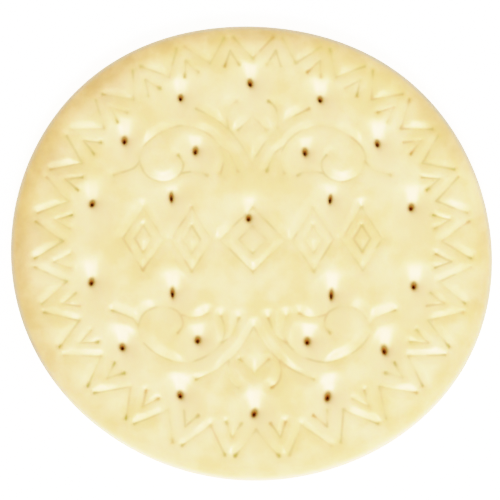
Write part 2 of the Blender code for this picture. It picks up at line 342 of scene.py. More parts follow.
class PressedPattern(PropertyGroup):
    """The marks of the stamp and of the docker pins."""

    groove_depth: length("Groove depth", "Depth of a pressed line", 0.20 * MM)
    groove_reach: length("Groove reach", "How far from a line its flank meets the plain surface", 1.9 * MM)
    crease_depth: length("Crease depth", "How much deeper the stamp's edge cut in the bottom", 0.012 * MM)
    spot_depth: length("Spot depth", "How much deeper a line is at its ends", 0.04 * MM)
    spot_length: length("Spot length", "How far the deeper spot runs along its line", 0.60 * MM)
    spot_width: length("Spot width", "How far the deeper spot spreads beside its line", 0.24 * MM)
    dimple_radius: length("Dimple radius", "Radius of the hollow round each hole", 4.9 * MM)
    dimple_depth: length("Dimple depth", "Depth of the hollow round each hole", 0.60 * MM)
    hole_half_width: length("Hole half width", "Half the width of a hole's mouth", 0.375 * MM)
    hole_half_length: length("Hole half length", "Half the length of a hole's mouth", 0.54 * MM)
    lip_depth: length("Lip depth", "How far the dough is drawn down at a hole's mouth", 0.13 * MM)


class DoughFinish(PropertyGroup):
    """Colours and gloss of the baked dough, some of which paint light and shade onto it."""

    pale: colour("Pale dough", "Colour of the palest flat dough", (0.97, 0.78, 0.408))
    golden: colour(
        "Golden dough", "Colour of the dough where it baked a little longer", (0.872, 0.675, 0.246)
    )
    tan: colour("Tan rim", "Colour of the rim where it browned", (0.67, 0.45, 0.155))
    # Painted light: where the rim browned least, its very edge and a band inside it are painted this paler
    # colour.
    lit_edge: colour(
        "Floury edge", "Colour of the rim's very edge where it stayed pale", (0.93, 0.80, 0.55)
    )
    # Crust with painted shade: where the rim browned most its very edge is painted this dark colour; the
    # underside has it as its crust.
    crust_and_edge_shade: colour(
        "Crust", "Colour of the rim's very edge where it browned, and of the underside", (0.48, 0.40, 0.26)
    )
    # Painted shade: the hollow beside each groove is painted this darker, yellower colour.
    groove_shade: colour("Hollow", "Colour in the hollow of a groove", (0.76, 0.59, 0.11))
    # Toast with painted shade: the creases and the ends of the lines are painted darker, olive where the
    # dough stayed pale and brown where it also toasted.
    olive_crease_shade: colour(
        "Olive crease", "Colour of the creases and their ends where they stayed pale", (0.48, 0.38, 0.04)
    )
    brown_crease_toast_and_shade: colour(
        "Brown crease", "Colour of the creases and their ends where they toasted", (0.57, 0.32, 0.035)
    )
    # Toast with painted shade: round a hole, most of all on its right and near side, the dough is painted
    # this darker, greyer colour.
    toast: colour("Toast", "Colour of the toasted dough round a hole", (0.44, 0.28, 0.04))
    scorch: colour("Scorch", "Colour just inside a hole", (0.56, 0.21, 0.02))
    # Toast with painted light: deep in a hole the dough is painted this bright orange to lift the hole's
    # shade.
    char: colour("Char", "Colour deep inside a hole", (0.95, 0.44, 0.03))
    roughness: FloatProperty(
        name="Roughness", description="Roughness of the dough itself",
        default=0.6, min=0, max=1, subtype="FACTOR",
    )
    glaze_roughness: FloatProperty(
        name="Glaze roughness", description="Roughness of the satin skin that the stamp leaves",
        default=0.34, min=0, max=1, subtype="FACTOR",
    )
    depth_of_light: FloatProperty(
        name="Depth of light", description="Share of the light that travels through the dough",
        default=0.3, min=0, max=1, subtype="FACTOR",
    )


class BrightTable(PropertyGroup):
    """The table, the light and the camera."""

    table_colour: colour("Table colour", "Colour of the plain table", (0.9, 0.9, 0.9))
    table_glow: FloatProperty(
        name="Table glow", description="How brightly the table is lit from below",
        default=0.8, min=0,
    )
    sky: FloatProperty(
        name="Room light", description="Brightness of the soft light from all round",
        default=0.88, min=0,
    )
    lamp_power: FloatProperty(
        name="Lamp power", description="Power of the lamp in watts",
        default=6.1, min=0,
    )
    lamp_colour: colour("Lamp colour", "Colour of both lamps", (1.0, 0.965, 0.93))
    lamp_size: FloatProperty(
        name="Lamp size", description="Width of each lamp",
        default=0.36, unit="LENGTH",
    )
    lamp_distance: FloatProperty(
        name="Lamp distance", description="Distance from the biscuit to each lamp",
        default=1.5, unit="LENGTH",
    )
    lamp_turn: FloatProperty(
        name="Lamp turn", description="Direction that the light comes from, from +X",
        default=math.radians(-84), subtype="ANGLE",
    )
    lamp_tilt: FloatProperty(
        name="Lamp tilt", description="How far each lamp is from straight above",
        default=math.radians(24), subtype="ANGLE",
    )
    side_lamp_power: FloatProperty(
        name="Side lamp power", description="Power of the fainter lamp in watts",
        default=0.5, min=0,
    )
    side_lamp_turn: FloatProperty(
        name="Side lamp turn", description="Direction that the fainter light comes from, from +X",
        default=math.radians(-20), subtype="ANGLE",
    )
    lens: FloatProperty(
        name="Lens", description="Focal length of the camera in millimetres",
        default=500, min=1,
    )


class Line(NamedTuple):
    """A pressed line: its places, whether it closes on itself, its depth and the reach of its
    flanks beside the plain ones, and its deeper spots as (number of a place, depth beside the
    plain ones)."""

    places: np.ndarray
    closed: bool = False
    strength: float = 1.0
    reach: float = 1.0
    spots: tuple = ((0, 1.0), (-1, 1.0))


class Hole(NamedTuple):
    """A docker hole: its middle, its two half axes and how far it is turned."""

    middle: np.ndarray
    half_width: float
    half_length: float
    turn: float


# The plain biscuit.


def rim_radius(form, angle):
    """Distance from the middle to the rim in this direction."""
    waves = (size * np.cos(crests * angle - phase) for crests, size, phase in RIM_WAVES)
    return form.mean_radius + sum(waves)


def rim_inset(form, places):
    """How far each place is inside the rim."""
    stretch = rim_radius(form, np.arctan2(places[:, 1], places[:, 0])) / form.mean_radius
    return form.mean_radius - np.hypot(places[:, 0], places[:, 1]) / stretch


def roll_height(form, inset):
    """Height of the plain top face at a distance inside the rim."""
    across = np.clip(1 - inset / form.top_roll_width, 0, 1)
    share = (1 - across**form.roll_roundness) ** (1 / form.roll_roundness)
    fall = form.crown * np.clip(1 - inset / form.crown_width, 0, 1) ** 2
    return form.waist_height + share * (form.thickness - form.waist_height - fall)


def loop_inside(form, inset):
    """Places all round the rim, this far inside it."""
    angles = np.arange(RIM_STEPS) * (math.tau / RIM_STEPS)
    radius = (form.mean_radius - inset) * rim_radius(form, angles) / form.mean_radius
    return np.stack([radius * np.cos(angles), radius * np.sin(angles)], 1)


def ripple(places, wavelength, seed):
    """Smooth unevenness, mostly between -1 and 1: waves of about one length in random directions."""
    draw = np.random.default_rng(seed)
    count, shortest, longest = 9, 0.7, 1.4
    total = np.zeros(len(places))
    for _ in range(count):
        heading, phase = draw.uniform(0, math.tau, 2)
        ahead = places @ np.array([math.cos(heading), math.sin(heading)])
        total += np.sin(ahead * math.tau / (wavelength * draw.uniform(shortest, longest)) + phase)
    return total / math.sqrt(count)


# The lines of the pattern.


def drifted(form, places):
    """Where pressed marks end up once the dough has spread."""
    x, y = places.T / form.mean_radius
    shifts = [
        sum(size * x**i * y**j for (i, j), size in drift.items())
        for drift in (DRIFT_SIDEWAYS, DRIFT_UP)
    ]
    return places + np.stack(shifts, 1)


def polar(radius, angle, centre=PATTERN_CENTRE):
    """A place at this radius from a centre. The angle runs clockwise from the far side, +Y."""
    return centre[0] + radius * math.sin(angle), centre[1] + radius * math.cos(angle)


def smooth_line(points):
    """Places a step apart on a smooth curve through a few points given in millimetres."""
    knots = np.array(points) * MM
    ends = [knots[0], *knots, knots[-1]]
    places = [knots[0]]
    for before, start, end, after in zip(ends, ends[1:], ends[2:], ends[3:]):
        count = max(round(math.dist(start, end) / LINE_STEP), 1)
        for t in np.arange(1, count + 1) / count:
            places.append(
                start
                + t / 2 * (end - before)
                + t**2 / 2 * (2 * before - 5 * start + 4 * end - after)
                + t**3 / 2 * (3 * start - before - 3 * end + after)
            )
    return np.array(places)


def straight_line(corners, closed=False):
    """Places a step apart on straight runs between corners."""
    corners = [np.array(corner) for corner in corners]
    if closed:
        corners.append(corners[0])
    places = [corners[0]]
    for start, end in zip(corners, corners[1:]):
        count = max(round(math.dist(start, end) / LINE_STEP), 1)
        places += [start + (end - start) * step / count for step in range(1, count + 1)]
    return np.array(places[:-1] if closed else places)


def mirrored(places, across, along):
    """A line of the scrollwork, in the quarter that the two signs name."""
    return np.array(PATTERN_CENTRE) + places * (across, along)


def border_lines():
    """The V strokes and the small chevrons. Those at the far side are shorter and fainter."""
    for number in range(BORDER_COUNT):
        turn = math.tau * number / BORDER_COUNT
        far = ((1 + math.cos(turn)) / 2) ** 2
        end_radius = STROKE_END_RADIUS - FAR_SIDE_SHORTENING * far
        ends = [polar(end_radius, turn + side * STROKE_HALF_ANGLE) for side in (-1, 1)]
        stroke = straight_line([ends[0], polar(STROKE_TIP_RADIUS, turn), ends[1]])
        spots = ((0, 1 - 0.5 * far), (len(stroke) // 2, 0.5), (-1, 1 - 0.5 * far))
        strength = STROKE_STRENGTH - STROKE_FADING * far
        yield Line(stroke, strength=strength, reach=BORDER_REACH, spots=spots)
    for number in range(BORDER_COUNT):
        turn = math.tau * (number + 0.5) / BORDER_COUNT
        far = ((1 + math.cos(turn)) / 2) ** 2
        feet = [polar(CHEVRON_FOOT_RADIUS, turn + side * CHEVRON_HALF_ANGLE) for side in (-1, 1)]
        chevron = straight_line([feet[0], polar(CHEVRON_TIP_RADIUS, turn), feet[1]])
        spots = ((0, 0.9), (len(chevron) // 2, 0.3), (-1, 0.9))
        strength = CHEVRON_STRENGTH - CHEVRON_FADING * far
        yield Line(chevron, strength=strength, reach=CHEVRON_REACH, spots=spots)


def scroll_line(places, first_spot, last_spot):
    """A line of the scrollwork, with a deeper spot at each end."""
    spots = ((0, first_spot), (-1, last_spot))
    return Line(places, strength=SCROLL_STRENGTH, reach=SCROLL_REACH, spots=spots)


def scroll_lines():
    """The volutes with their tails and flicks, the stems and the lozenges between them."""
    for points in (VOLUTE, VOLUTE_TAIL, OUTER_FLICK, INNER_FLICK, LOZENGE_SIDE):
        quarter = smooth_line(points)
        for along in (1, -1):
            for across in (1, -1):
                places = mirrored(quarter, across, along)
                yield scroll_line(places, 0.3, 0.8)
    for points in (STEM, LOZENGE_CHEVRON):
        half = smooth_line(points)
        for along in (1, -1):
            right, left = (mirrored(half, across, along) for across in (1, -1))
            places = np.concatenate([right, left[-2::-1]])
            yield scroll_line(places, 0.7, 0.7)


def row_lines():
    """The plain lozenges across the middle."""
    x, y = PATTERN_CENTRE[0], PATTERN_CENTRE[1] + ROW_RISE
    first = MIDDLE_HALF_WIDTH + ROW_GAP + OUTER_HALF_WIDTH
    step = ROW_GAP + 2 * OUTER_HALF_WIDTH
    outer = [side * (first + number * step) for side in (-1, 1) for number in range(ROW_SIDE_COUNT)]
    for offset in (0.0, *outer):
        half_width = OUTER_HALF_WIDTH if offset else MIDDLE_HALF_WIDTH
        for share in (1.0, INNER_SHARE):
            corners = [
                (x + offset, y + share * ROW_HALF_HEIGHT),
                (x + offset + share * half_width, y),
                (x + offset, y - share * ROW_HALF_HEIGHT),
                (x + offset - share * half_width, y),
            ]
            places = straight_line(corners, closed=True)
            spots = ((0, 0.5), (len(places) // 2, 0.5))
            yield Line(places, closed=True, strength=ROW_STRENGTH, reach=ROW_REACH, spots=spots)


def pressed_lines(form):
    """Every line as the stamp left it: drifted with the dough, and not all equally deep."""
    draw = np.random.default_rng(SEED)
    for line in (*border_lines(), *scroll_lines(), *row_lines()):
        spots = [(number, depth * draw.uniform(*SPOT_RANGE)) for number, depth in line.spots]
        yield line._replace(
            places=drifted(form, line.places),
            strength=line.strength * draw.uniform(*STRENGTH_RANGE),
            spots=spots,
        )


def docker_holes(pattern):
    """The docker holes, each a little different in size and lie."""
    draw = np.random.default_rng(SEED)
    turns = (*RING_TURNS, *(-turn for turn in RING_TURNS[1:-1]))
    places = [(*polar(RING_RADIUS, turn, RING_CENTRE), False) for turn in turns]
    for x, y in (WIDE_HOLES, SLIT_HOLES):
        for across in (1, -1):
            for along in (1, -1):
                middle = (INNER_CENTRE[0] + across * x, INNER_CENTRE[1] + along * y)
                places.append((*middle, (x, y) == SLIT_HOLES))
    places.append((*SINGLE_HOLE, False))
    for x, y, slit in places:
        size = draw.uniform(*HOLE_SIZE_RANGE) - NEAR_GROWTH * y / RING_RADIUS
        lengthening = SLIT_LENGTH if slit else draw.uniform(*HOLE_LENGTH_RANGE)
        turn = math.radians(draw.uniform(-HOLE_TURN_DEGREES, HOLE_TURN_DEGREES))
        yield Hole(
            middle=np.array([x - HOLE_SHEAR * y, y - HOLE_SHEAR * x]),
            half_width=pattern.hole_half_width * size * (SLIT_WIDTH if slit else 1.0),
            half_length=pattern.hole_half_length * size * lengthening,
            turn=turn * (SLIT_TURN if slit else 1.0),
        )


# Depths.


def distance_to_line(line, places):
    """Distance from each place to the nearest point of a line."""
    ends = np.roll(line.places, -1, axis=0)
    arms = zip(line.places, ends) if line.closed else zip(line.places[:-1], ends[:-1])
    nearest = np.full(len(places), OUT_OF_REACH)
    for start, end in arms:
        arm = end - start
        along = np.clip((places - start) @ arm / (arm @ arm), 0, 1)
        nearest = np.minimum(nearest, np.linalg.norm(places - start - along[:, None] * arm, axis=1))
    return nearest


def flank(share):
    """Share of a groove's depth at a share of its reach, in a soft wave."""
    return 0.5 + 0.5 * np.cos(math.pi * np.clip(share, 0, 1) ** FLANK_POWER)


def pressed(pattern, lines, places):
    """How deep the lines are pressed at each place, how far the nearest line is, and how strong
    the nearest spot is."""
    powers = np.zeros(len(places))
    spots = np.zeros(len(places))
    nearest = np.full(len(places), OUT_OF_REACH)
    for line in lines:
        low = line.places.min(0) - pattern.groove_reach
        high = line.places.max(0) + pattern.groove_reach
        close = np.flatnonzero(((places > low) & (places < high)).all(1))
        distance = distance_to_line(line, places[close])
        share = distance / (pattern.groove_reach * line.reach)
        powers[close] += (pattern.groove_depth * line.strength * flank(share)) ** BLEND_POWER
        nearest[close] = np.minimum(nearest[close], distance)
        for number, depth in line.spots:
            out = np.linalg.norm(places[close] - line.places[number], axis=1)
            spot = np.exp(-((out / pattern.spot_length) ** 2) - (distance / pattern.spot_width) ** 2)
            tail = TAIL_STRENGTH * np.exp(-out / TAIL_LENGTH - (distance / CREASE_REACH) ** 2)
            spots[close] = np.maximum(spots[close], depth * np.maximum(spot, tail))
    crease = pattern.crease_depth * np.exp(-((nearest / CREASE_REACH) ** 2))
    return powers ** (1 / BLEND_POWER) + pattern.spot_depth * spots + crease, nearest, spots


def hole_share(hole, places):
    """Each place's distance from a hole's middle, counted in the size of its mouth."""
    cos, sin = math.cos(hole.turn), math.sin(hole.turn)
    x, y = (places - hole.middle).T
    return np.hypot((x * cos + y * sin) / hole.half_width, (y * cos - x * sin) / hole.half_length)


def docked(pattern, holes, places):
    """How deep the dimples and lips are at each place, how much toast and painted shade it has, and
    how much painted light makes the hollow round a hole paler."""
    depth = np.zeros(len(places))
    toast = np.zeros(len(places))
    paled = np.zeros(len(places))
    for hole in holes:
        x, y = (places - hole.middle).T
        out = np.hypot(x, y)
        across = np.maximum(np.abs(x - DIMPLE_SHIFT[0]) - DIMPLE_BOTTOM, 0)
        along = y - DIMPLE_SHIFT[1]
        along = np.where(along < 0, along / DIMPLE_NEAR_LENGTH, along)
        away = np.hypot(across / DIMPLE_WIDTH, along) / pattern.dimple_radius
        depth += pattern.dimple_depth * np.clip(1 - away**2, 0, 1) ** DIMPLE_POWER
        # Painted light: the hollow round a hole is painted paler, lifting its shade.
        paled = np.maximum(paled, DIMPLE_LIGHTENING * np.clip(1 - away**2, 0, 1))
        share = np.maximum(hole_share(hole, places), JUST_ABOVE_ZERO)
        depth += pattern.lip_depth * np.clip((LIP_REACH - share) / (LIP_REACH - 1), 0, 1) ** 2
        beyond = np.maximum(out * (1 - 1 / share), 0)
        # Toast with painted shade, reaching further on the right and near side of the hole.
        toasted = TOAST_AND_SHADE_SIDE_SHARE * np.clip((x - TOAST_AND_SHADE_SLANT * y) / np.maximum(out, JUST_ABOVE_ZERO), 0, 1)
        around = (1 - toasted) * np.exp(-beyond / SCORCH_REACH) + toasted * np.exp(-beyond / TOAST_AND_SHADE_REACH)
        toast = np.maximum(toast, around)
    return depth, toast, paled


# The mesh.


def spaced(groups):
    """The places of all groups, without those too near one already taken. Each group is an array
    of places and the room that each needs."""
    cell = max(room for _, room in groups)
    taken = {}
    kept = []
    for places, room in groups:
        for x, y in places:
            i, j = math.floor(x / cell), math.floor(y / cell)
            around = (taken.get((i + di, j + dj), ()) for di in (-1, 0, 1) for dj in (-1, 0, 1))
            if any((x - a) ** 2 + (y - b) ** 2 < room * room for near in around for a, b in near):
                continue
            taken.setdefault((i, j), []).append((x, y))
            kept.append((x, y))
    return np.array(kept)


def offset_rows(line, offset):
    """Places beside a line on both sides, and round its ends and corners."""
    ahead = np.roll(line.places, -1, axis=0) - line.places
    behind = line.places - np.roll(line.places, 1, axis=0)
    if not line.closed:
        ahead[-1] = behind[-1]
        behind[0] = ahead[0]
    ahead /= np.linalg.norm(ahead, axis=1)[:, None]
    behind /= np.linalg.norm(behind, axis=1)[:, None]
    along = ahead + behind
    along /= np.linalg.norm(along, axis=1)[:, None]
    sideways = np.stack([-along[:, 1], along[:, 0]], 1) * offset
    sharp = (ahead * behind).sum(1) < math.cos(SHARP_TURN)
    if not line.closed:
        sharp[[0, -1]] = True
    angles = np.arange(FAN_COUNT) * (math.tau / FAN_COUNT)
    fan = offset * np.stack([np.cos(angles), np.sin(angles)], 1)
    fans = (line.places[sharp][:, None] + fan).reshape(-1, 2)
    places, sideways = line.places[~sharp], sideways[~sharp]
    return np.concatenate([places + sideways, places - sideways, fans])


def ring_round(hole, share, shift=(0.0, 0.0)):
    """Places round a hole, at this share of its mouth."""
    angles = np.arange(HOLE_STEPS) * (math.tau / HOLE_STEPS)
    x, y = hole.half_width * share * np.cos(angles), hole.half_length * share * np.sin(angles)
    cos, sin = math.cos(hole.turn), math.sin(hole.turn)
    return hole.middle + np.array(shift) + np.stack([x * cos - y * sin, x * sin + y * cos], 1)


def staggered_grid(form, step, inset):
    """A grid of triangles over the biscuit, out to a distance inside the rim."""
    side = form.mean_radius * 1.1
    rows = np.arange(-side, side, step * math.sqrt(3) / 2)
    x, y = np.meshgrid(np.arange(-side, side, step), rows)
    x[1::2] += step / 2
    places = np.stack([x.ravel(), y.ravel()], 1)
    return places[rim_inset(form, places) > inset]


def triangulated(places, links):
    """A Delaunay mesh that keeps some links as edges: its places, its triangles, and where each
    place that went in came out."""
    found = delaunay_2d_cdt([Vector(place) for place in places], links, [], 0, 1e-8, True)
    came_out = {source: number for number, sources in enumerate(found[3]) for source in sources}
    return np.array([tuple(place) for place in found[0]]), found[2], came_out


def loop_links(first, count):
    """Links round a closed loop of places that are numbered in order."""
    return [(first + i, first + (i + 1) % count) for i in range(count)]


def top_face(form, pattern, lines, holes):
    """The top face out to where the rim gets steep, triangulated along every line and mouth. Gives
    its places, its triangles, the loop at its edge and the loop round each mouth."""
    loops = [loop_inside(form, TOP_EDGE_INSET), *(ring_round(hole, 1.0) for hole in holes)]
    places, links, starts = [], [], []
    for loop in loops:
        starts.append(len(places))
        links += loop_links(len(places), len(loop))
        places += list(loop)
    for line in lines:
        count = len(line.places)
        links += loop_links(len(places), count)[: count if line.closed else count - 1]
        places += list(line.places)

    rings = [ring_round(hole, share) for hole in holes for share in LIP_SHARES]
    groups = [(np.array(places), 0.0), (np.concatenate(rings), LIP_ROOM)]
    for offset in ROW_OFFSETS:
        rows = np.concatenate([offset_rows(line, offset) for line in lines])
        rows = rows[rim_inset(form, rows) > TOP_EDGE_INSET + ROW_RIM_ROOM]
        _, nearest, _ = pressed(pattern, lines, rows)
        groups.append((rows[nearest > ROW_CLEARANCE * offset], ROW_ROOM * offset))
    grid = staggered_grid(form, GRID_STEP, TOP_EDGE_INSET + GRID_RIM_ROOM)
    groups.append((grid, GRID_ROOM * GRID_STEP))
    chosen = spaced(groups)
    extra = chosen[len(places):]
    clear = np.all([hole_share(hole, extra) > MOUTH_CLEARANCE for hole in holes], axis=0)

    out, faces, came_out = triangulated(np.concatenate([chosen[: len(places)], extra[clear]]), links)
    edge, *mouths = (
        [came_out[start + i] for i in range(len(loop))] for start, loop in zip(starts, loops)
    )
    inside = [set(mouth) for mouth in mouths]
    faces = [face for face in faces if not any(mouth.issuperset(face) for mouth in inside)]
    return out, faces, edge, mouths


def skirt(above, below):
    """Quads between two loops of the same length."""
    count = len(above)
    return [(above[i], below[i], below[(i + 1) % count], above[(i + 1) % count]) for i in range(count)]


class Shell:
    """The biscuit's points and faces as they are put together, with what is marked on each point:
    the distance to a pressed line, the strength of its spots, the toast and painted shade round a
    hole and the painted light in the hollow round it, the depth down a hole, the browning of the rim,
    how much the painted light and shade and the crust of the rim's very edge show, and how smooth the
    stamp pressed the skin."""

    def __init__(self):
        self.points = []
        self.faces = []
        self.marks = {}
        names = ("line_distance", "spot", "toast", "paled", "hole_depth", "browning", "edge", "gloss")
        for name in names:
            self.marks[name] = []

    def add(self, points, **marks):
        """Adds points with their marks, and gives their numbers."""
        first = len(self.points)
        self.points += [tuple(point) for point in points]
        for name, values in self.marks.items():
            values += list(np.broadcast_to(marks.get(name, 0.0), len(points)))
        return list(range(first, len(self.points)))


def rim_colouring(form, places, inset):
    """How much the dough browned from the rim inwards, most of all at the far left, and how much the
    colour of the rim's own edge shows, with a band inside it: painted light where the rim browned
    least, crust with painted shade where it browned most."""
    heading = np.arctan2(places[:, 1], places[:, 0])
    waves = sum(size * np.cos(crests * heading - phase) for crests, size, phase in BROWNING_WAVES)
    leftward = 0.5 - 0.5 * places[:, 0] / form.mean_radius
    uneven = BROWNING_UNEVENNESS * ripple(places, BROWNING_RIPPLE, SEED + 5)
    reach = BROWNING_REACH * (NARROWEST_BROWNING + LEFT_WIDENING * leftward**2 + uneven)
    browned = np.clip(EVEN_BROWNING + waves, 0, 1)
    browning = browned * np.clip(1 - inset / reach, 0, 1) ** BROWNING_POWER + LEFT_BROWNING * leftward
    # A band of painted light inside the rim where it browned least.
    lit_band = LIT_BAND_STRENGTH * (1 - browned) * np.clip(1 - inset / LIT_BAND_REACH, 0, 1)
    edge = EDGE_STRENGTH * np.exp(-((inset / EDGE_REACH) ** 2))
    return browning, np.minimum(edge + lit_band, 1)


def add_top(shell, form, pattern, lines, holes, places):
    """Adds points of the top face and its rolled edge, and gives their numbers."""
    inset = rim_inset(form, places)
    groove, line_distance, spot = pressed(pattern, lines, places)
    dimple, toast, paled = docked(pattern, holes, places)
    browning, edge = rim_colouring(form, places, inset)
    uneven = 1 + UNEVENNESS * ripple(places, SMALL_RIPPLE, SEED + 1)
    wide = WIDE_SINK * ripple(places, WIDE_RIPPLE, SEED + 2)
    small = SMALL_SINK * ripple(places, SMALL_RIPPLE, SEED + 3)
    sink = MEAN_SINK + wide + small
    depth = np.hypot(groove * uneven, dimple) + form.swell * np.maximum(sink, 0)
    unmarked = 1 - np.maximum(toast, np.minimum(spot, 1))
    gloss = unmarked * np.clip((inset - DULL_RIM) / FADING_RIM, 0, 1)
    return shell.add(
        np.column_stack([places, roll_height(form, inset) - depth]),
        line_distance=line_distance,
        spot=spot,
        toast=toast,
        paled=paled,
        browning=browning,
        edge=edge,
        gloss=gloss,
    )


def add_throat(shell, hole, mouth):
    """Adds a docker hole, from its mouth down."""
    loop = mouth
    top = np.mean([shell.points[number][2] for number in mouth])
    for share, depth in THROAT:
        lean = np.array(THROAT_LEAN) * (1 - math.exp(-depth / LEAN_DEPTH))
        ring = ring_round(hole, share, lean)
        points = np.column_stack([ring, np.full(len(ring), top - depth)])
        below = shell.add(points, line_distance=OUT_OF_REACH, toast=1.0, hole_depth=depth)
        shell.faces += skirt(loop, below)
        loop = below
    shell.faces.append(tuple(loop))


def add_foot(shell, form, loop):
    """Adds the rim under the waist and the underside."""
    power = 2 / form.roll_roundness
    for step in range(1, FOOT_STEPS + 1):
        turn = math.pi / 2 * step / FOOT_STEPS
        ring = loop_inside(form, form.foot_roll_width * (1 - max(math.cos(turn), 0.0) ** power))
        height = np.full(len(ring), form.waist_height * (1 - math.sin(turn) ** power))
        browning = np.maximum(rim_colouring(form, ring, 0.0)[0], FOOT_BROWNING * step / FOOT_STEPS)
        points = np.column_stack([ring, height])
        below = shell.add(points, line_distance=OUT_OF_REACH, browning=browning, edge=FOOT_EDGE)
        shell.faces += skirt(loop, below)
        loop = below

    sole = loop_inside(form, form.foot_roll_width)
    inner = staggered_grid(form, UNDERSIDE_STEP, form.foot_roll_width + 0.4 * UNDERSIDE_STEP)
    places, faces, came_out = triangulated(np.concatenate([sole, inner]), loop_links(0, len(sole)))
    lift = np.maximum(ripple(places, SOLE_RIPPLE, SEED + 4), 0) * SOLE_LIFT
    points = np.column_stack([places, lift])
    below = shell.add(points, line_distance=OUT_OF_REACH, browning=SOLE_BROWNING, edge=SOLE_EDGE)
    for i, number in enumerate(loop):
        below[came_out[i]] = number
    shell.faces += [tuple(below[i] for i in face) for face in faces]


def biscuit_shell(form, pattern):
    """The whole biscuit as one closed shell."""
    lines = list(pressed_lines(form))
    holes = list(docker_holes(pattern))
    shell = Shell()
    places, faces, edge, mouths = top_face(form, pattern, lines, holes)
    numbers = add_top(shell, form, pattern, lines, holes, places)
    shell.faces += [tuple(numbers[i] for i in face) for face in faces]
    for hole, mouth in zip(holes, mouths):
        add_throat(shell, hole, mouth)
    loop = edge
    for inset in ROLL_INSETS:
        below = add_top(shell, form, pattern, lines, holes, loop_inside(form, inset))
        shell.faces += skirt(loop, below)
        loop = below
    add_foot(shell, form, loop)
    return shell


def shell_mesh(shell, name):
    """A mesh of the shell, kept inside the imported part's box and with its faces out."""
    points = np.clip(np.array(shell.points), *(np.array(corner) for corner in BISCUIT_BOX))
    mesh = bpy.data.meshes.new(name)
    mesh.from_pydata([tuple(point) for point in points], [], shell.faces)
    for mark, values in shell.marks.items():
        attribute = mesh.attributes.new(mark, "FLOAT", "POINT")
        attribute.data.foreach_set("value", np.array(values, np.float32))
    solid = bmesh.new()
    solid.from_mesh(mesh)
    loose = [vertex for vertex in solid.verts if not vertex.link_faces]
    bmesh.ops.delete(solid, geom=loose, context="VERTS")
    bmesh.ops.recalc_face_normals(solid, faces=solid.faces)
    solid.to_mesh(mesh)
    solid.free()
    mesh.shade_smooth()
    return mesh


# The dough's finish.


class Signal:
    """A shader socket that can be used in sums. Each sum adds its Math nodes."""

    def __init__(self, recipe, socket):
        self.recipe = recipe
        self.socket = socket

    def maths(self, operation, first, second):
        made = self.recipe.node("ShaderNodeMath", {"operation": operation}, {0: first, 1: second})
        return Signal(self.recipe, made.outputs[0])

    def __add__(self, other):
        return self.maths("ADD", self, other)

    def __radd__(self, other):
        return self.maths("ADD", other, self)

    def __sub__(self, other):
        return self.maths("SUBTRACT", self, other)

    def __rsub__(self, other):
        return self.maths("SUBTRACT", other, self)

    def __mul__(self, other):
        return self.maths("MULTIPLY", self, other)

    def __rmul__(self, other):
        return self.maths("MULTIPLY", other, self)


class Recipe:
    """The nodes of one material."""

    def __init__(self, name):
        self.material = bpy.data.materials.new(name)
        self.material.use_nodes = True
        self.tree = self.material.node_tree
        self.tree.nodes.clear()

    def node(self, kind, settings=None, sockets=None):
        """A node of a kind, with its settings and then the values or links of its sockets."""
        made = self.tree.nodes.new(kind)
        for name, value in (settings or {}).items():
            setattr(made, name, value)
        for name, value in (sockets or {}).items():
            if isinstance(value, Signal):
                value = value.socket
            if isinstance(value, bpy.types.NodeSocket):
                self.tree.links.new(value, made.inputs[name])
            else:
                made.inputs[name].default_value = value
        return made

    def mark(self, name):
        """A number that the mesh carries at each of its points."""
        made = self.node("ShaderNodeAttribute", {"attribute_name": name})
        return Signal(self, made.outputs["Fac"])

    def noise(self, place, size, detail=3.0, roughness=0.5):
        """Soft cloudy noise between 0 and 1, with features of this size."""
        sockets = {"Vector": place, "Scale": 1 / size, "Detail": detail, "Roughness": roughness}
        return Signal(self, self.node("ShaderNodeTexNoise", {}, sockets).outputs["Fac"])

    def fade(self, value, empty, full):
        """0 where the value is at empty, 1 where it is at full, and smooth between."""
        low, high, ends = (empty, full, (0.0, 1.0)) if empty < full else (full, empty, (1.0, 0.0))
        sockets = {"Value": value, "From Min": low, "From Max": high, "To Min": ends[0], "To Max": ends[1]}
        made = self.node("ShaderNodeMapRange", {"interpolation_type": "SMOOTHSTEP"}, sockets)
        return Signal(self, made.outputs["Result"])

    def blend(self, share, first, second):
        """A colour between two others."""
        settings = {"data_type": "RGBA", "clamp_factor": True}
        made = self.node("ShaderNodeMix", settings, {0: share, 6: first, 7: second})
        return made.outputs[2]


def opaque(colour):
    return (*colour, 1.0)


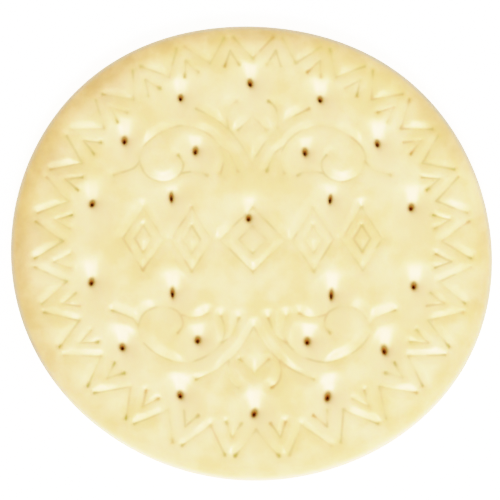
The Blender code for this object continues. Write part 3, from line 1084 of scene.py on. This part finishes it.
def dough_material(finish):
    """Pale dough with a satin skin, tan at the rim, toasted and painted with shade in its creases and
    round its holes, painted with shade in its grooves and with light in the hollows round its holes,
    and scorched holes painted bright deep down. The rim's very edge is painted light where it browned
    least and dark where it browned most.
    """
    recipe = Recipe("baked_dough")
    place = recipe.node("ShaderNodeTexCoord").outputs["Object"]
    line = recipe.mark("line_distance")
    clouds = recipe.noise(place, CLOUD_SIZE, 2.0)
    mottle = recipe.noise(place, MOTTLE_SIZE, 3.0)
    grain = recipe.noise(place, GRAIN_SIZE, 4.0, 0.6)

    # Painted light in the hollow round each hole: less golden there.
    golden = recipe.fade(clouds * 0.65 + mottle * 0.35, *GOLDEN_FADE) * (1 - recipe.mark("paled"))
    dough = recipe.blend(golden, opaque(finish.pale), opaque(finish.golden))
    browning = recipe.mark("browning") * (0.45 + mottle * 1.1)
    dough = recipe.blend(browning, dough, opaque(finish.tan))
    # The rim's very edge: painted light where it browned least, crust with painted shade where it browned
    # most.
    browned = recipe.mark("browning") * 1.8
    edge = recipe.blend(browned, opaque(finish.lit_edge), opaque(finish.crust_and_edge_shade))
    dough = recipe.blend(recipe.mark("edge"), dough, edge)
    # Painted shade in the hollow beside each line.
    groove_shade = recipe.fade(line, *GROOVE_SHADE_FADE) * GROOVE_SHADE_SHARE
    dough = recipe.blend(groove_shade, dough, opaque(finish.groove_shade))
    # Creases and line ends: toasted colour with painted shade in the crease.
    toasted = recipe.fade(recipe.noise(place, TOASTED_SIZE, 1.0), *TOASTED_FADE)
    crease_toast_and_shade = recipe.blend(toasted, opaque(finish.olive_crease_shade), opaque(finish.brown_crease_toast_and_shade))
    creased = recipe.fade(recipe.noise(place, CREASED_SIZE, 1.0), *CREASED_FADE)
    crease = recipe.fade(line, *CREASE_SHADE_FADE) * (0.02 + creased * 0.35)
    dough = recipe.blend(crease, dough, crease_toast_and_shade)
    dough = recipe.blend(recipe.mark("spot") * SPOT_SHARE, dough, crease_toast_and_shade)
    # Toast and painted shade round the holes and down them.
    dough = recipe.blend(recipe.mark("toast") * TOAST_AND_SHADE_COLOUR_SHARE, dough, opaque(finish.toast))
    depth = recipe.mark("hole_depth")
    dough = recipe.blend(recipe.fade(depth, *SCORCH_FADE), dough, opaque(finish.scorch))
    # Deep in a hole: toast painted bright, as painted light.
    dough = recipe.blend(recipe.fade(depth, *DEEP_TOAST_AND_LIGHT_FADE), dough, opaque(finish.char))

    sockets = {"Height": grain * 0.6 + mottle * 0.4, "Strength": 0.2, "Distance": 0.1 * MM}
    bump = recipe.node("ShaderNodeBump", {}, sockets)
    sockets = {
        "Base Color": dough,
        "Roughness": finish.roughness + (grain - 0.5) * 0.15,
        "Specular IOR Level": 0.3,
        "Subsurface Weight": finish.depth_of_light,
        "Subsurface Radius": (1.0, 0.5, 0.2),
        "Subsurface Scale": 0.8 * MM,
        "Coat Weight": recipe.mark("gloss"),
        "Coat Roughness": finish.glaze_roughness,
        "Coat IOR": 1.9,
        "Normal": bump.outputs["Normal"],
    }
    shader = recipe.node("ShaderNodeBsdfPrincipled", {}, sockets)
    recipe.node("ShaderNodeOutputMaterial", {}, {"Surface": shader.outputs["BSDF"]})
    return recipe.material


def table_material(table):
    """A plain white table that is also lit from below."""
    recipe = Recipe("bright_table")
    sockets = {
        "Base Color": opaque(table.table_colour),
        "Roughness": 1.0,
        "Specular IOR Level": 0.0,
        "Emission Color": (1.0, 1.0, 1.0, 1.0),
        "Emission Strength": table.table_glow,
    }
    shader = recipe.node("ShaderNodeBsdfPrincipled", {}, sockets)
    recipe.node("ShaderNodeOutputMaterial", {}, {"Surface": shader.outputs["BSDF"]})
    return recipe.material


# What the scene holds.


class BISCUIT_OT_bake(Operator):
    """Make the biscuit, with its pressed pattern, its docker holes and its finish"""

    bl_idname = "biscuit.bake"
    bl_label = "Bake the Biscuit"

    def execute(self, context):
        scene = context.scene
        mesh = shell_mesh(biscuit_shell(scene.biscuit_form, scene.biscuit_pattern), "marie_biscuit")
        mesh.materials.append(dough_material(scene.biscuit_finish))
        piece = bpy.data.objects.new("marie_biscuit", mesh)
        scene.collection.objects.link(piece)
        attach(piece, "root")
        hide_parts("biscuit")
        return {"FINISHED"}


class BISCUIT_OT_stage(Operator):
    """Make the table, the light and the camera"""

    bl_idname = "biscuit.stage"
    bl_label = "Set the Stage"

    def execute(self, context):
        scene = context.scene
        table = scene.biscuit_table
        self.lay_table(scene, table)
        self.light(scene, table)
        self.look_down(scene, table)
        self.develop(scene)
        return {"FINISHED"}

    def lay_table(self, scene, table):
        mesh = bpy.data.meshes.new("table")
        side = TABLE_HALF_SIDE
        corners = [(-side, -side, 0), (side, -side, 0), (side, side, 0), (-side, side, 0)]
        mesh.from_pydata(corners, [], [(0, 1, 2, 3)])
        mesh.materials.append(table_material(table))
        piece = bpy.data.objects.new("table", mesh)
        piece.location.z = -TABLE_DROP
        scene.collection.objects.link(piece)

    def light(self, scene, table):
        """Soft light from all round, a round lamp that faces the biscuit from its near side, and a
        fainter one at its right."""
        world = bpy.data.worlds.new("room")
        world.use_nodes = True
        world.node_tree.nodes["Background"].inputs["Color"].default_value = (1, 1, 1, 1)
        world.node_tree.nodes["Background"].inputs["Strength"].default_value = table.sky
        scene.world = world
        self.hang_lamp(scene, table, "lamp", table.lamp_power, table.lamp_turn)
        self.hang_lamp(scene, table, "side_lamp", table.side_lamp_power, table.side_lamp_turn)

    def hang_lamp(self, scene, table, name, power, turn):
        light = bpy.data.lights.new(name, "AREA")
        light.shape = "DISK"
        light.size = table.lamp_size
        light.energy = power
        light.color = table.lamp_colour
        lamp = bpy.data.objects.new(name, light)
        out = table.lamp_distance * math.sin(table.lamp_tilt)
        lamp.location = (
            out * math.cos(turn),
            out * math.sin(turn),
            table.lamp_distance * math.cos(table.lamp_tilt),
        )
        lamp.rotation_euler = lamp.location.to_track_quat("Z", "Y").to_euler()
        lamp.visible_camera = False
        scene.collection.objects.link(lamp)

    def look_down(self, scene, table):
        """The camera, straight above, so that the biscuit fills the picture as in the photograph."""
        lens = bpy.data.cameras.new("camera")
        lens.lens = table.lens
        lens.sensor_width = SENSOR_WIDTH
        lens.clip_start, lens.clip_end = 0.05, 10.0
        distance = PHOTO_SIDE * PIXEL * table.lens / SENSOR_WIDTH
        camera = bpy.data.objects.new("camera", lens)
        camera.location = (
            (PHOTO_SIDE / 2 - MIDDLE_PIXEL[0]) * PIXEL,
            (MIDDLE_PIXEL[1] - PHOTO_SIDE / 2) * PIXEL,
            scene.biscuit_form.thickness * SCALE_HEIGHT + distance,
        )
        scene.collection.objects.link(camera)
        scene.camera = camera

    def develop(self, scene):
        """Plain colours, the brightest ones eased towards white as a bright photograph has them."""
        view = scene.view_settings
        view.view_transform = "Standard"
        view.look = "None"
        view.use_curve_mapping = True
        mapping = view.curve_mapping
        mapping.use_clip = True
        mapping.clip_max_x = WHITE
        curve = mapping.curves[3]
        curve.points[-1].location = (WHITE, 1.0)
        for brightness, tone in TONES:
            curve.points.new(brightness, tone)
        mapping.update()


class BISCUIT_PT_kitchen(Panel):
    """Lists what the scene is made of"""

    bl_idname = "BISCUIT_PT_kitchen"
    bl_label = "Marie Biscuit"
    bl_space_type = "VIEW_3D"
    bl_region_type = "UI"
    bl_category = "Biscuit"

    def draw(self, context):
        for operator in OPERATORS:
            self.layout.operator(operator.bl_idname)
        for name in GROUPS:
            group = getattr(context.scene, name)
            box = self.layout.box()
            for setting in group.__annotations__:
                box.prop(group, setting)


OPERATORS = (BISCUIT_OT_bake, BISCUIT_OT_stage)
GROUPS = {
    "biscuit_form": BiscuitForm,
    "biscuit_pattern": PressedPattern,
    "biscuit_finish": DoughFinish,
    "biscuit_table": BrightTable,
}


def register():
    for kind in (*GROUPS.values(), *OPERATORS, BISCUIT_PT_kitchen):
        bpy.utils.register_class(kind)
    for name, kind in GROUPS.items():
        setattr(bpy.types.Scene, name, PointerProperty(type=kind))


def unregister():
    for name in GROUPS:
        delattr(bpy.types.Scene, name)
    for kind in (BISCUIT_PT_kitchen, *OPERATORS, *GROUPS.values()):
        bpy.utils.unregister_class(kind)


def main():
    register()
    bpy.ops.biscuit.bake()
    bpy.ops.biscuit.stage()


if __name__ == "__main__":
    main()
